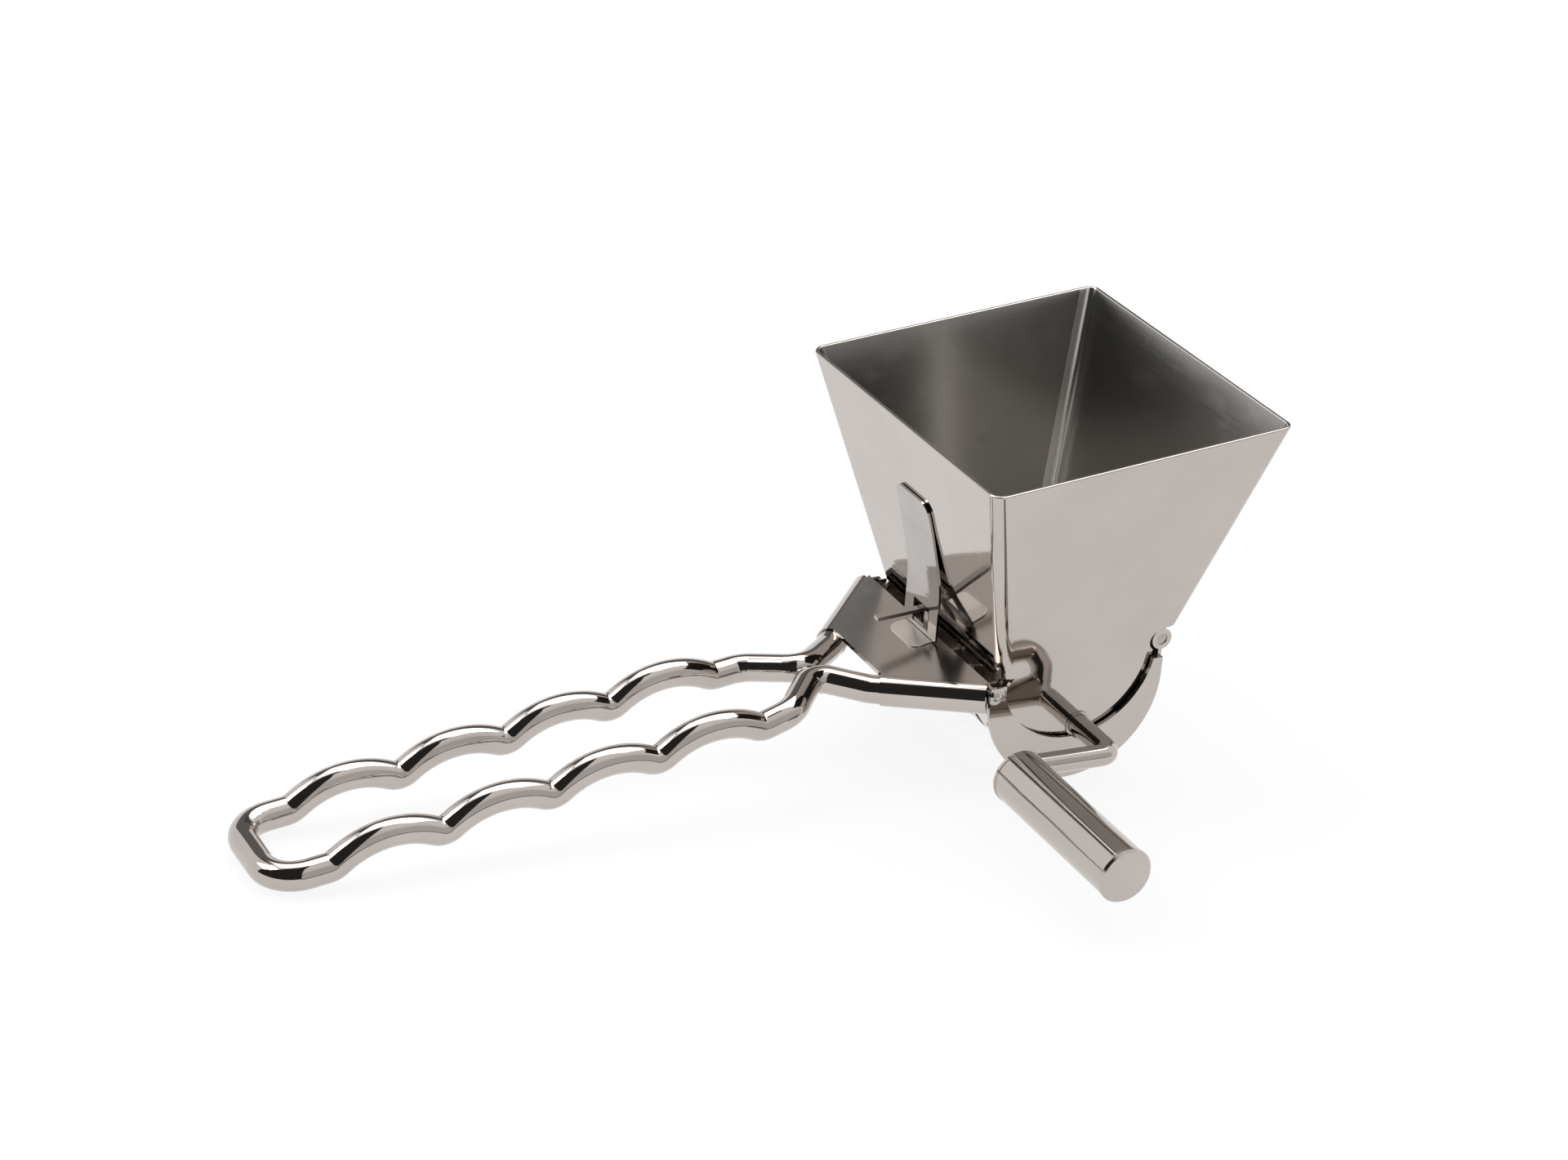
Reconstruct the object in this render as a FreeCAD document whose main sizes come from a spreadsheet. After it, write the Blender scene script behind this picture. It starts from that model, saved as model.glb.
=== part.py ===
import FreeCAD, Part
import math
import os
import Sketcher

# Small rotary herb mill of polished sheet steel, in millimetres, lying as it rests on a table.
# +X runs from the wire handle to the hopper's rear, -Y is the crank side and +Z is up.
# The table is Z = 0, and X = 0 lies under the middle of the hopper's throat.
doc = FreeCAD.newDocument("HerbMill")
sheet = doc.addObject("Spreadsheet::Sheet", "Dimensions")
DIMENSIONS = {
    "gauge": 0.8,
    "seat_height": 14.4,
    "rest_tilt": 4.3,
    "shaft_x": 2.2,
    "shaft_height": 11.4,
    "pan_centre": 0.1,
    "pan_radius": 20.5,
    "pan_half_length": 25.5,
    "pan_front_top": 24.2,
    "pan_rear_top": 25.3,
    "trough_x": 1.0,
    "trough_radius": 14.8,
    "trough_depth": 12.0,
    "shoulder_height": 20.0,
    "shoulder_bend": 3.0,
    "ear_foot": 19.2,
    "ear_height": 4.6,
    "ear_width": 3.4,
    "ear_gauge": 0.3,
    "slot_width": 2.0,
    "slot_reach": 14.0,
    "slot_top": 9.6,
    "hinge_x": 20.4,
    "hinge_height": 28.0,
    "knuckle_radius": 2.3,
    "knuckle_length": 10.0,
    "knuckle_step": 20.5,
    "knuckle_gap": 0.4,
    "hinge_room": 0.6,
    "pin_radius": 1.3,
    "cheek_hollow_radius": 18.3,
    "cheek_hollow_x": 0.4,
    "cheek_hollow_height": 27.8,
    "notch_radius": 2.75,
    "far_notch_radius": 4.2,
    "rivet_x": -19.2,
    "rivet_height": 22.2,
    "rivet_radius": 0.6,
    "rivet_dome": 2.0,
    "rivet_head": 0.9,
    "plate_front_x": -36.8,
    "plate_rear_x": -20.5,
    "plate_front_height": 22.85,
    "plate_rise": 0.153,
    "plate_front_half": 11.0,
    "plate_spread": 0.894,
    "flange_half": 20.0,
    "flange_foot": 20.6,
    "sleeve_radius": 3.3,
    "sleeve_end_x": -21.3,
    "wire_radius": 2.95,
    "wire_end_x": -24.5,
    "handle_end_x": -167.5,
    "handle_half_width": 11.4,
    "wave_pitch": 23.0,
    "wave_count": 4,
    "wave_start_x": -155.6,
    "wave_start_height": 4.2,
    "handle_slope": 8.1,
    "crest_radius": 18.6,
    "valley_radius": 3.6,
    "loop_bend": 7.0,
    "turn_x": -57.6,
    "turn_height": 18.0,
    "turn_twist": 0.7,
    "pinch_x": -48.2,
    "pinch_half": 1.7,
    "pinch_height": 20.2,
    "pinch_bend": 4.2,
    "turn_bend": 6.0,
    "rim_height": 62.0,
    "rim_front": -27.2,
    "rim_rear": 41.8,
    "rim_half": 38.4,
    "rim_round": 0.3,
    "throat_height": 12.0,
    "throat_front": -16.7,
    "throat_half": 25.0,
    "flare_height": 10.6,
    "flare_radius": 25.0,
    "front_bend": 3.0,
    "rear_bend": 2.4,
    "seam_reach": 4.0,
    "end_plate_gap": 0.8,
    "rod_radius": 2.25,
    "running_gap": 0.06,
    "snug_gap": 0.02,
    "bush_radius": 2.88,
    "bush_collar": 4.4,
    "bush_lip": 0.6,
    "crank_plane": -38.4,
    "grip_x": -22.0,
    "grip_height": 12.9,
    "rod_bend": 2.6,
    "core_radius": 4.8,
    "core_half_length": 22.4,
    "end_disc_radius": 7.0,
    "cutter_pitch": 5.3,
    "cutter_count": 9,
    "cutter_gauge": 1.0,
    "cutter_turn": 10.0,
    "cutter_root": 8.0,
    "cutter_tip": 11.1,
    "tooth_count": 12,
    "tooth_heel": 2.1,
    "tooth_face": 1.3,
    "tooth_land": 0.8,
    "tooth_trim": 0.1,
    "clip_radius": 3.6,
    "clip_gauge": 0.4,
    "grip_radius": 5.8,
    "grip_start": -41.2,
    "grip_length": 41.2,
    "grip_skin": 0.6,
    "grip_proud": 0.1,
    "grip_edge": 0.5,
    "grip_lip": 1.2,
    "plug_depth": 2.6,
    "stop_depth": 31.0,
    "stop_radius": 4.2,
    "latch_half": 6.6,
    "latch_corner": 2.8,
    "latch_gauge": 0.5,
    "latch_foot_x": -22.3,
    "latch_foot_height": 25.5,
    "hook_x": -20.8,
    "hook_height": 30.4,
    "hook_tip_x": -33.1,
    "hook_drop": 0.5,
    "hook_gauge": 0.8,
}
for row, (name, value) in enumerate(DIMENSIONS.items(), start=1):
    sheet.set("A%d" % row, name)
    sheet.set("B%d" % row, str(value))
    sheet.setAlias("B%d" % row, name)
doc.recompute()


class Size:
    """A length that carries both its number and the sheet expression that drives it."""

    def __init__(self, value, text):
        self.value = value
        self.text = text

    def combine(self, other, sign, value):
        return Size(value, "(%s %s %s)" % (self.text, sign, other.text))

    def __add__(self, other):
        other = as_size(other)
        return self.combine(other, "+", self.value + other.value)

    def __radd__(self, other):
        return as_size(other) + self

    def __sub__(self, other):
        other = as_size(other)
        return self.combine(other, "-", self.value - other.value)

    def __rsub__(self, other):
        return as_size(other) - self

    def __mul__(self, other):
        other = as_size(other)
        return self.combine(other, "*", self.value * other.value)

    def __rmul__(self, other):
        return as_size(other) * self

    def __neg__(self):
        return as_size(0) - self

    def __float__(self):
        return float(self.value)


def as_size(value):
    if isinstance(value, Size):
        return value
    return Size(float(value), repr(float(value)))


def dim(name):
    return Size(float(sheet.get(name)), "Dimensions." + name)


def num(name):
    return float(sheet.get(name))


def vec(x, y, z):
    return FreeCAD.Vector(float(x), float(y), float(z))


def bind(thing, **settings):
    for key, value in settings.items():
        size = as_size(value)
        setattr(thing, key, size.value)
        thing.setExpression(key, size.text)
    return thing


def place(thing, x, y, z):
    for key, value in (("x", x), ("y", y), ("z", z)):
        thing.setExpression("Placement.Base." + key, as_size(value).text)
    thing.Placement = FreeCAD.Placement(vec(x, y, z), thing.Placement.Rotation)
    return thing


def box(name, corner, length, width, height):
    thing = doc.addObject("Part::Box", name)
    bind(thing, Length=length, Width=width, Height=height)
    return place(thing, *corner)


# A round bar along -Y that starts at the given point.
def bar(name, start, radius, length):
    thing = doc.addObject("Part::Cylinder", name)
    bind(thing, Radius=radius, Height=length)
    thing.Placement = FreeCAD.Placement(vec(0, 0, 0), FreeCAD.Rotation(vec(1, 0, 0), 90))
    return place(thing, *start)


def fuse(name, things):
    thing = doc.addObject("Part::MultiFuse", name)
    thing.Shapes = things
    return thing


def cut(name, base, tool):
    thing = doc.addObject("Part::Cut", name)
    thing.Base = base
    thing.Tool = tool
    return thing


# A straight-sided closed sketch whose corners are all driven from the sheet.
def outline(body, name, role, corners):
    sketch = body.newObject("Sketcher::SketchObject", name)
    plane = [item for item in body.Origin.OriginFeatures if item.Role == role][0]
    sketch.AttachmentSupport = [(plane, "")]
    sketch.MapMode = "FlatFace"
    ends = [vec(x, y, 0) for x, y in corners]
    for index, start in enumerate(ends):
        sketch.addGeometry(Part.LineSegment(start, ends[(index + 1) % len(ends)]), False)
    for index, (x, y) in enumerate(corners):
        before = (index - 1) % len(corners)
        sketch.addConstraint(Sketcher.Constraint("Coincident", before, 2, index, 1))
        for kind, value in (("DistanceX", x), ("DistanceY", y)):
            size = as_size(value)
            number = sketch.addConstraint(Sketcher.Constraint(kind, -1, 1, index, 1, size.value))
            sketch.setExpression("Constraints[%d]" % number, size.text)
    return sketch


# A turned piece: corners are (radius, distance along +Y) pairs, spun about the line along Y.
def turned(name, centre, corners):
    body = doc.addObject("PartDesign::Body", name)
    sketch = outline(body, name + "_section", "XY_Plane", corners)
    spin = body.newObject("PartDesign::Revolution", name + "_spin")
    spin.Profile = sketch
    spin.ReferenceAxis = (sketch, ["V_Axis"])
    spin.Angle = 360.0
    body.Tip = spin
    return place(body, centre[0], 0, centre[1])


def unit(vector):
    return FreeCAD.Vector(vector).normalize()


# A path of straight runs with a round bend of its own radius at every inner corner.
def bent_path(points, radii):
    edges = []
    start = points[0]
    for index, radius in enumerate(radii, start=1):
        corner = points[index]
        back = unit(points[index - 1] - corner)
        ahead = unit(points[index + 1] - corner)
        half = back.getAngle(ahead) / 2.0
        first = corner + back * (radius / math.tan(half))
        last = corner + ahead * (radius / math.tan(half))
        inward = unit(back + ahead)
        middle = corner + inward * (radius / math.sin(half) - radius)
        if (first - start).Length > 0.001:
            edges.append(Part.makeLine(start, first))
        edges.append(Part.Arc(first, middle, last).toShape())
        start = last
    edges.append(Part.makeLine(start, points[-1]))
    return Part.Wire(edges)


def bent_rod(name, path, radius):
    spine = doc.addObject("Part::Feature", name + "_path")
    spine.Shape = path
    ring = doc.addObject("Part::Circle", name + "_round")
    bind(ring, Radius=radius)
    first = path.Edges[0]
    ahead = first.tangentAt(first.FirstParameter)
    ring.Placement = FreeCAD.Placement(
        path.OrderedVertexes[0].Point, FreeCAD.Rotation(vec(0, 0, 1), ahead)
    )
    rod = doc.addObject("Part::Sweep", name)
    rod.Sections = [ring]
    rod.Spine = (spine, ["Edge%d" % (index + 1) for index in range(len(path.Edges))])
    rod.Solid = True
    rod.Transition = "Right corner"
    return rod


# A flat strip of even thickness that follows a path in a plane across Y.
def bent_strip(path, half_wide, thickness):
    first = path.Edges[0]
    ahead = first.tangentAt(first.FirstParameter)
    start = path.OrderedVertexes[0].Point
    across = vec(0, half_wide, 0)
    off = unit(ahead.cross(across)) * (thickness / 2)
    corners = [start + across + off, start + across - off, start - across - off, start - across + off]
    section = Part.makePolygon(corners + [corners[0]])
    return path.makePipeShell([section], True, False, 1)


def prism(points, depth):
    loop = Part.makePolygon(list(points) + [points[0]])
    return Part.Face(loop).extrude(depth)


GAUGE = dim("gauge")
HINGE = (dim("hinge_x"), dim("hinge_height"))
PIN = dim("pin_radius")
SHAFT = (dim("shaft_x"), dim("shaft_height"))
SPARE = 1.0
WIDE = 60.0
nodes = []


def hand_in(thing, label):
    thing.Label = label
    nodes.append(thing)
    return thing


# Pan: one sheet bent into a trough with sloping sides and upright edges. Slots in its round bottom
# let the cutters through, and three knuckles are rolled along its rear edge.
pan_half = dim("pan_half_length")
pan_x = dim("pan_centre")
pan_out = dim("pan_radius")
pan_in = pan_out - GAUGE
pan_front = pan_x - pan_out
full_long = 2 * pan_half + 2 * SPARE
sheet_middle = num("gauge") / 2
shoulder = num("shoulder_height")
trough_points = [
    vec(pan_front + sheet_middle, 0, num("pan_front_top")),
    vec(pan_front + sheet_middle, 0, shoulder),
    vec(num("trough_x"), 0, -num("trough_depth")),
    vec(pan_x + pan_in + sheet_middle, 0, shoulder),
    vec(pan_x + pan_in + sheet_middle, 0, num("pan_rear_top")),
]
trough_bends = [num("shoulder_bend"), num("trough_radius"), num("shoulder_bend")]
trough = doc.addObject("Part::Feature", "pan_trough")
trough_path = bent_path(trough_points, trough_bends)
trough.Shape = bent_strip(trough_path, num("pan_half_length"), num("gauge"))
pan_pieces = [trough]
long = dim("knuckle_length")
neck_foot = dim("pan_rear_top") - 0.5 * GAUGE
for index in range(3):
    start = pan_half - index * dim("knuckle_step")
    pan_pieces.append(
        bar("pan_knuckle_%d" % index, (HINGE[0], start, HINGE[1]), dim("knuckle_radius"), long)
    )
    pan_pieces.append(
        box(
            "pan_neck_%d" % index,
            (pan_x + pan_in, start - long, neck_foot),
            GAUGE,
            long,
            HINGE[1] - PIN - neck_foot,
        )
    )
for index, side in enumerate((-1, 1)):
    ear_middle = side * (pan_half - 0.5 * dim("ear_gauge"))
    pan_pieces.append(
        box(
            "pan_ear_%d" % index,
            (pan_front + GAUGE, ear_middle - 0.5 * dim("ear_gauge"), dim("ear_foot")),
            dim("ear_width"),
            dim("ear_gauge"),
            dim("ear_height"),
        )
    )
pan_tools = [bar("pan_pin_hole", (HINGE[0], pan_half + SPARE, HINGE[1]), PIN, full_long)]
middle_cutter = (num("cutter_count") - 1) / 2
for index in range(int(num("cutter_count"))):
    slot_y = (index - middle_cutter) * dim("cutter_pitch") - 0.5 * dim("slot_width")
    pan_tools.append(
        box(
            "pan_slot_%d" % index,
            (pan_x - dim("slot_reach"), slot_y, -SPARE),
            2 * dim("slot_reach"),
            dim("slot_width"),
            dim("slot_top") + SPARE,
        )
    )
pan = cut("pan_sheet", fuse("pan_fused", pan_pieces), fuse("pan_cuts", pan_tools))
hand_in(pan, "pan")

# Cheeks: two crescent plates that close the ends of the pan outside the hopper's end plates. A notch
# in the hollow top edge lets the shaft lift out as the hopper opens.
opening = math.atan2(num("shaft_height") - num("hinge_height"), num("hinge_x") - num("shaft_x"))
deep = GAUGE + 2 * SPARE
front_rise = dim("pan_front_top") - pan_out
for side, label in ((-1, "near"), (1, "far")):
    start = pan_half + GAUGE if side > 0 else -pan_half
    notch = dim("far_notch_radius") if side > 0 else dim("notch_radius")
    low = bar("cheek_%s_low" % label, (pan_x, start, pan_out), pan_out, GAUGE)
    high_corner = (pan_front, start - GAUGE, pan_out)
    high = box("cheek_%s_high" % label, high_corner, 2 * pan_out, GAUGE, front_rise)
    hollow = bar(
        "cheek_%s_hollow" % label,
        (dim("cheek_hollow_x"), start + SPARE, dim("cheek_hollow_height")),
        dim("cheek_hollow_radius"),
        deep,
    )
    crown = box(
        "cheek_%s_crown" % label,
        (pan_x - WIDE / 2, start - GAUGE - SPARE, dim("pan_front_top")),
        WIDE,
        deep,
        WIDE,
    )
    seat = bar("cheek_%s_seat" % label, (SHAFT[0], start + SPARE, SHAFT[1]), notch, deep)
    way_out = box(
        "cheek_%s_way_out" % label,
        (
            SHAFT[0] - notch * math.cos(opening),
            start - GAUGE - SPARE,
            SHAFT[1] + notch * math.sin(opening),
        ),
        2 * notch,
        deep,
        4 * notch,
    )
    way_out.Placement.Rotation = FreeCAD.Rotation(vec(0, 1, 0), math.degrees(opening))
    rivet_hole = bar(
        "cheek_%s_hole" % label,
        (dim("rivet_x"), start + SPARE, dim("rivet_height")),
        dim("rivet_radius") + dim("snug_gap"),
        deep,
    )
    body = fuse("cheek_%s_plate" % label, [low, high])
    tools = fuse("cheek_%s_cuts" % label, [hollow, crown, seat, way_out, rivet_hole])
    hand_in(cut("cheek_" + label + "_cut", body, tools), "cheek_" + label)
rivets = []
dome = num("rivet_dome")
head_high = num("rivet_head")
for side in (-1, 1):
    face = side * (num("pan_half_length") + num("gauge"))
    foot = vec(num("rivet_x"), face, num("rivet_height"))
    shank = Part.makeCylinder(num("rivet_radius"), num("gauge"), foot, vec(0, -side, 0))
    head = Part.makeSphere(dome, foot - vec(0, side * (dome - head_high), 0))
    keep = Part.makeCylinder(dome, dome, foot, vec(0, side, 0))
    rivets.append(shank.fuse(head.common(keep)).removeSplitter())
cheek_rivets = doc.addObject("Part::Feature", "cheek_rivet_pair")
cheek_rivets.Shape = Part.makeCompound(rivets)
hand_in(cheek_rivets, "cheek_rivets")

# Bracket: a trapezoid plate that slopes up to the pan and ends over its front edge, with a flange
# against the pan and each slanted side rolled into a sleeve for one end of the handle wire.
front_x = num("plate_front_x")
rear_x = num("plate_rear_x")


def plate_top(x):
    return num("plate_front_height") + num("plate_rise") * (x - front_x)


def sleeve_point(x, side):
    half = num("plate_front_half") + num("plate_spread") * (x - front_x)
    return vec(x, side * half, plate_top(x) - num("sleeve_radius"))


rear_half = sleeve_point(rear_x, 1).y
plan = [
    vec(front_x, -num("plate_front_half"), 0),
    vec(rear_x, -rear_half, 0),
    vec(rear_x, rear_half, 0),
    vec(front_x, num("plate_front_half"), 0),
]
column = prism(plan, vec(0, 0, WIDE))
thick = num("gauge") * math.hypot(1, num("plate_rise"))
slab = prism(
    [
        vec(front_x, -WIDE, plate_top(front_x)),
        vec(rear_x, -WIDE, plate_top(rear_x)),
        vec(rear_x, -WIDE, plate_top(rear_x) - thick),
        vec(front_x, -WIDE, plate_top(front_x) - thick),
    ],
    vec(0, 2 * WIDE, 0),
)
flange_x = float(pan_front) - num("gauge")
flange = Part.makeBox(
    num("gauge"),
    2 * num("flange_half"),
    plate_top(flange_x) - thick / 2 - num("flange_foot"),
    vec(flange_x, -num("flange_half"), num("flange_foot")),
)
plate = slab.common(column).fuse(flange)
beyond = Part.makeBox(WIDE, 2 * WIDE, WIDE, vec(num("sleeve_end_x"), -WIDE, 0))
for side in (-1, 1):
    start = sleeve_point(front_x, side)
    run = sleeve_point(rear_x, side) - start
    sleeve = Part.makeCylinder(num("sleeve_radius"), run.Length, start, run)
    plate = plate.fuse(sleeve.cut(beyond))
for side in (-1, 1):
    start = sleeve_point(front_x - SPARE, side)
    run = sleeve_point(num("sleeve_end_x"), side) - start
    bore = Part.makeCylinder(num("wire_radius") + num("snug_gap"), run.Length, start, run)
    plate = plate.cut(bore)
bracket = doc.addObject("Part::Feature", "bracket_sheet")
bracket.Shape = plate.removeSplitter()
hand_in(bracket, "bracket")

# Handle: one round wire bent into a loop, with finger waves along both legs. The legs come
# together before the bracket and spread again, and each end goes into the sleeve on its own side.
slope = math.radians(num("handle_slope"))
pitch = num("wave_pitch")
straight_between = 0.05
swing = math.asin(pitch / 2 / (num("crest_radius") + num("valley_radius") + straight_between))
wave_depth = pitch / 2 * math.tan(swing)
valley_sag = num("valley_radius") * (1 / math.cos(swing) - 1)
half_width = num("handle_half_width")


def leg_point(along, above, y):
    x = num("wave_start_x") + along * math.cos(slope) - above * math.sin(slope)
    z = num("wave_start_height") + along * math.sin(slope) + above * math.cos(slope)
    return vec(x, y, z)


# The waved run of one leg, from the loop's closed end to the last valley.
def waves(y):
    corners = [(leg_point(0, 0, y), num("valley_radius"))]
    for index in range(int(num("wave_count"))):
        crest = leg_point((index + 0.5) * pitch, wave_depth - valley_sag, y)
        valley = leg_point((index + 1) * pitch, -valley_sag, y)
        corners += [(crest, num("crest_radius")), (valley, num("valley_radius"))]
    return corners


# The end of one leg in its sleeve: a bend just before the mouth, then straight inside.
def sleeve_run(side):
    before_mouth = sleeve_point(front_x - 2 * SPARE, side)
    return [(before_mouth, 2 * num("wire_radius")), (sleeve_point(num("wire_end_x"), side), 0)]


def leg(side):
    turn_z = num("turn_height") - side * num("turn_twist")
    turn = vec(num("turn_x"), side * half_width, turn_z)
    pinch = vec(num("pinch_x"), side * num("pinch_half"), num("pinch_height"))
    bends = [(turn, num("turn_bend")), (pinch, num("pinch_bend"))]
    return waves(side * half_width) + bends + sleeve_run(side)


loop_x = num("handle_end_x")
loop_end = [(vec(loop_x, side * half_width, num("wire_radius")), num("loop_bend")) for side in (-1, 1)]
handle_corners = leg(-1)[::-1] + loop_end + leg(1)
handle_points = [point for point, bend in handle_corners]
handle_bends = [bend for point, bend in handle_corners[1:-1]]
handle_path = bent_path(handle_points, handle_bends)
hand_in(bent_rod("handle_wire_rod", handle_path, dim("wire_radius")), "handle_wire")

# Latch hook: a narrow blade that stands on the bracket and reaches forward through the leaf.
hook_x = num("hook_x")
hook_top = num("hook_height")
hook_gauge = num("hook_gauge")
hook_path = bent_path(
    [
        vec(hook_x, 0, plate_top(hook_x + hook_gauge)),
        vec(hook_x, 0, hook_top),
        vec(num("hook_tip_x"), 0, hook_top - num("hook_drop")),
    ],
    [1.5 * hook_gauge],
)
latch_hook = doc.addObject("Part::Feature", "latch_hook_blade")
latch_hook.Shape = bent_strip(hook_path, hook_gauge, hook_gauge)
hand_in(latch_hook, "latch_hook")

# Latch leaf: a springy strip that stands on the bracket and leans on the hopper's front wall, with a
# window for the hook and round corners at the top.
foot_x = num("latch_foot_x")
foot_z = num("latch_foot_height")
# Each bend of the leaf: its place along X and Z, and its radius.
leaf_bends = [
    (foot_x, foot_z, 0),
    (foot_x, foot_z + 12.0, 30),
    (foot_x - 3.15, foot_z + 25.3, 20),
    (foot_x - 5.08, foot_z + 32.0, 0),
]
leaf_points = [vec(x, 0, z) for x, z, bend in leaf_bends]
leaf_path = bent_path(leaf_points, [bend for x, z, bend in leaf_bends[1:-1]])
half = num("latch_half")
leaf = bent_strip(leaf_path, half, num("latch_gauge"))
leaf_top = leaf_points[-1].z
top_corners = [
    edge
    for edge in leaf.Edges
    if edge.Length < 2 * num("latch_gauge") and abs(edge.CenterOfMass.z - leaf_top) < SPARE
]
leaf = leaf.makeFillet(num("latch_corner"), top_corners)
window_foot = foot_z + hook_gauge
window_high = hook_top + 1.5 * hook_gauge - window_foot
window_corner = vec(foot_x - WIDE / 2, -4 * hook_gauge, window_foot)
window = Part.makeBox(WIDE, 8 * hook_gauge, window_high, window_corner)
latch_leaf = doc.addObject("Part::Feature", "latch_leaf_strip")
latch_leaf.Shape = leaf.cut(window).removeSplitter()
hand_in(latch_leaf, "latch_leaf")

# Hopper wrap: front wall and both end plates bent from one sheet round the two front corners. It is
# drawn with its rim level in its own frame and then leaned back as the mill rests.
lean = FreeCAD.Rotation(vec(0, 1, 0), -num("rest_tilt"))
hopper_place = FreeCAD.Placement(vec(0, 0, num("seat_height")), lean)
hinge_in = hopper_place.inverse().multVec(vec(HINGE[0], 0, HINGE[1]))
shaft_in = hopper_place.inverse().multVec(vec(SHAFT[0], 0, SHAFT[1]))
skin = num("gauge")
knuckle = num("knuckle_radius")
throat_z = num("throat_height")
throat_half = num("throat_half")
rim_z = num("rim_height")
front_run = (num("rim_front") - num("throat_front")) / (rim_z - throat_z)
wall_foot_z = hinge_in.z - GAUGE.value
wall_foot_x = hinge_in.x + knuckle
rear_run = (num("rim_rear") - wall_foot_x) / (rim_z - wall_foot_z)
flare = math.atan2(num("rim_half") - throat_half, rim_z - num("flare_height"))
flare_foot = num("flare_height") - num("flare_radius") * math.tan(flare / 2)


def front_face(z):
    return num("throat_front") + front_run * (z - throat_z)


def rear_face(z):
    return wall_foot_x + rear_run * (z - wall_foot_z)


def seam(z):
    return rear_face(z) - num("seam_reach")


# One side of the hopper seen along X: upright at the foot, then a soft bend into the sloping wall.
def side_line(inset, low, high, side):
    radius = num("flare_radius") + inset

    def on_bend(angle):
        across = throat_half + num("flare_radius") - radius * math.cos(angle)
        return vec(0, side * across, flare_foot + radius * math.sin(angle))

    bend_end = on_bend(flare)
    rise = high - bend_end.z
    top = bend_end + vec(0, side * rise * math.tan(flare), rise)
    return [
        Part.makeLine(vec(0, side * (throat_half - inset), low), on_bend(0)),
        Part.Arc(on_bend(0), on_bend(flare / 2), bend_end).toShape(),
        Part.makeLine(bend_end, top),
    ]


def between_sides(first, second):
    ends = []
    for line in (first, second):
        ends.append((line[0].Vertexes[0].Point, line[-1].Vertexes[1].Point))
    foot_edge = Part.makeLine(ends[0][0], ends[1][0])
    top_edge = Part.makeLine(ends[0][1], ends[1][1])
    loop = Part.Wire(Part.__sortEdges__(first + second + [foot_edge, top_edge]))
    solid = Part.Face(loop).extrude(vec(4 * WIDE, 0, 0))
    solid.translate(vec(-2 * WIDE, 0, 0))
    return solid


def across(corners):
    return prism([vec(x, -WIDE, z) for x, z in corners], vec(0, 2 * WIDE, 0))


# A closed block with the hopper's walls for sides, taken in by an even inset and round at its corners.
def block(inset, low, high):
    sides = [side_line(inset, low, high, side) for side in (1, -1)]
    front_inset = inset * math.hypot(1, front_run)
    rear_inset = inset * math.hypot(1, rear_run)
    ends = across(
        [
            (front_face(low) + front_inset, low),
            (rear_face(low) - rear_inset, low),
            (rear_face(high) - rear_inset, high),
            (front_face(high) + front_inset, high),
        ]
    )
    solid = between_sides(*sides).common(ends)
    for is_front, bend in ((True, num("front_bend")), (False, num("rear_bend"))):
        corners = [
            edge
            for edge in solid.Edges
            if edge.BoundBox.ZLength > SPARE
            and abs(edge.CenterOfMass.y) > throat_half / 2
            and (edge.CenterOfMass.x < 0) == is_front
        ]
        solid = solid.makeFillet(bend - inset, corners)
    return solid


foot_cut = throat_z - 2 * SPARE
shell = block(0, foot_cut, rim_z).cut(block(skin, foot_cut - SPARE, rim_z + SPARE))
rim_edges = [
    edge
    for edge in shell.Edges
    if abs(edge.BoundBox.ZMin - rim_z) < 0.01 and edge.BoundBox.ZLength < 0.01
]
shell = shell.makeFillet(num("rim_round"), rim_edges)
ahead_of_seam = across(
    [
        (-2 * WIDE, throat_z),
        (seam(throat_z), throat_z),
        (seam(2 * rim_z), 2 * rim_z),
        (-2 * WIDE, 2 * rim_z),
    ]
)
wrap = shell.common(ahead_of_seam)
corner_x = front_face(throat_z)
inside = [hopper_place.inverse().multVec(point) for point in trough_points]
plate_gap = num("end_plate_gap") + sheet_middle
lower_plate = across(
    [
        (corner_x + num("front_bend"), throat_z),
        (corner_x + skin, throat_z - num("front_bend")),
        (inside[1].x + 2 * plate_gap, inside[1].z),
        (inside[2].x, inside[2].z + 2 * plate_gap),
        (inside[3].x - 2 * plate_gap, inside[3].z),
        (seam(throat_z), throat_z),
    ]
)
foot_edges = [edge for edge in lower_plate.Edges if edge.CenterOfMass.z < inside[2].z + 3 * plate_gap]
lower_plate = lower_plate.makeFillet(num("trough_radius") - plate_gap, foot_edges)
for side in (-1, 1):
    sheets = [side_line(inset, -WIDE, throat_z + WIDE, side) for inset in (0, skin)]
    wrap = wrap.fuse(between_sides(*sheets).common(lower_plate))
clear_radius = knuckle + num("hinge_room")
clear_pin = Part.makeCylinder(clear_radius, 2 * WIDE, vec(hinge_in.x, -WIDE, hinge_in.z), vec(0, 1, 0))
hole_radius = num("bush_radius") + num("snug_gap")
shaft_hole = Part.makeCylinder(hole_radius, 2 * WIDE, vec(shaft_in.x, -WIDE, shaft_in.z), vec(0, 1, 0))
hopper_wrap = doc.addObject("Part::Feature", "hopper_wrap_sheet")
hopper_wrap.Shape = wrap.cut(clear_pin).cut(shaft_hole).removeSplitter()
hopper_wrap.Placement = hopper_place
hand_in(hopper_wrap, "hopper_wrap")

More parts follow.
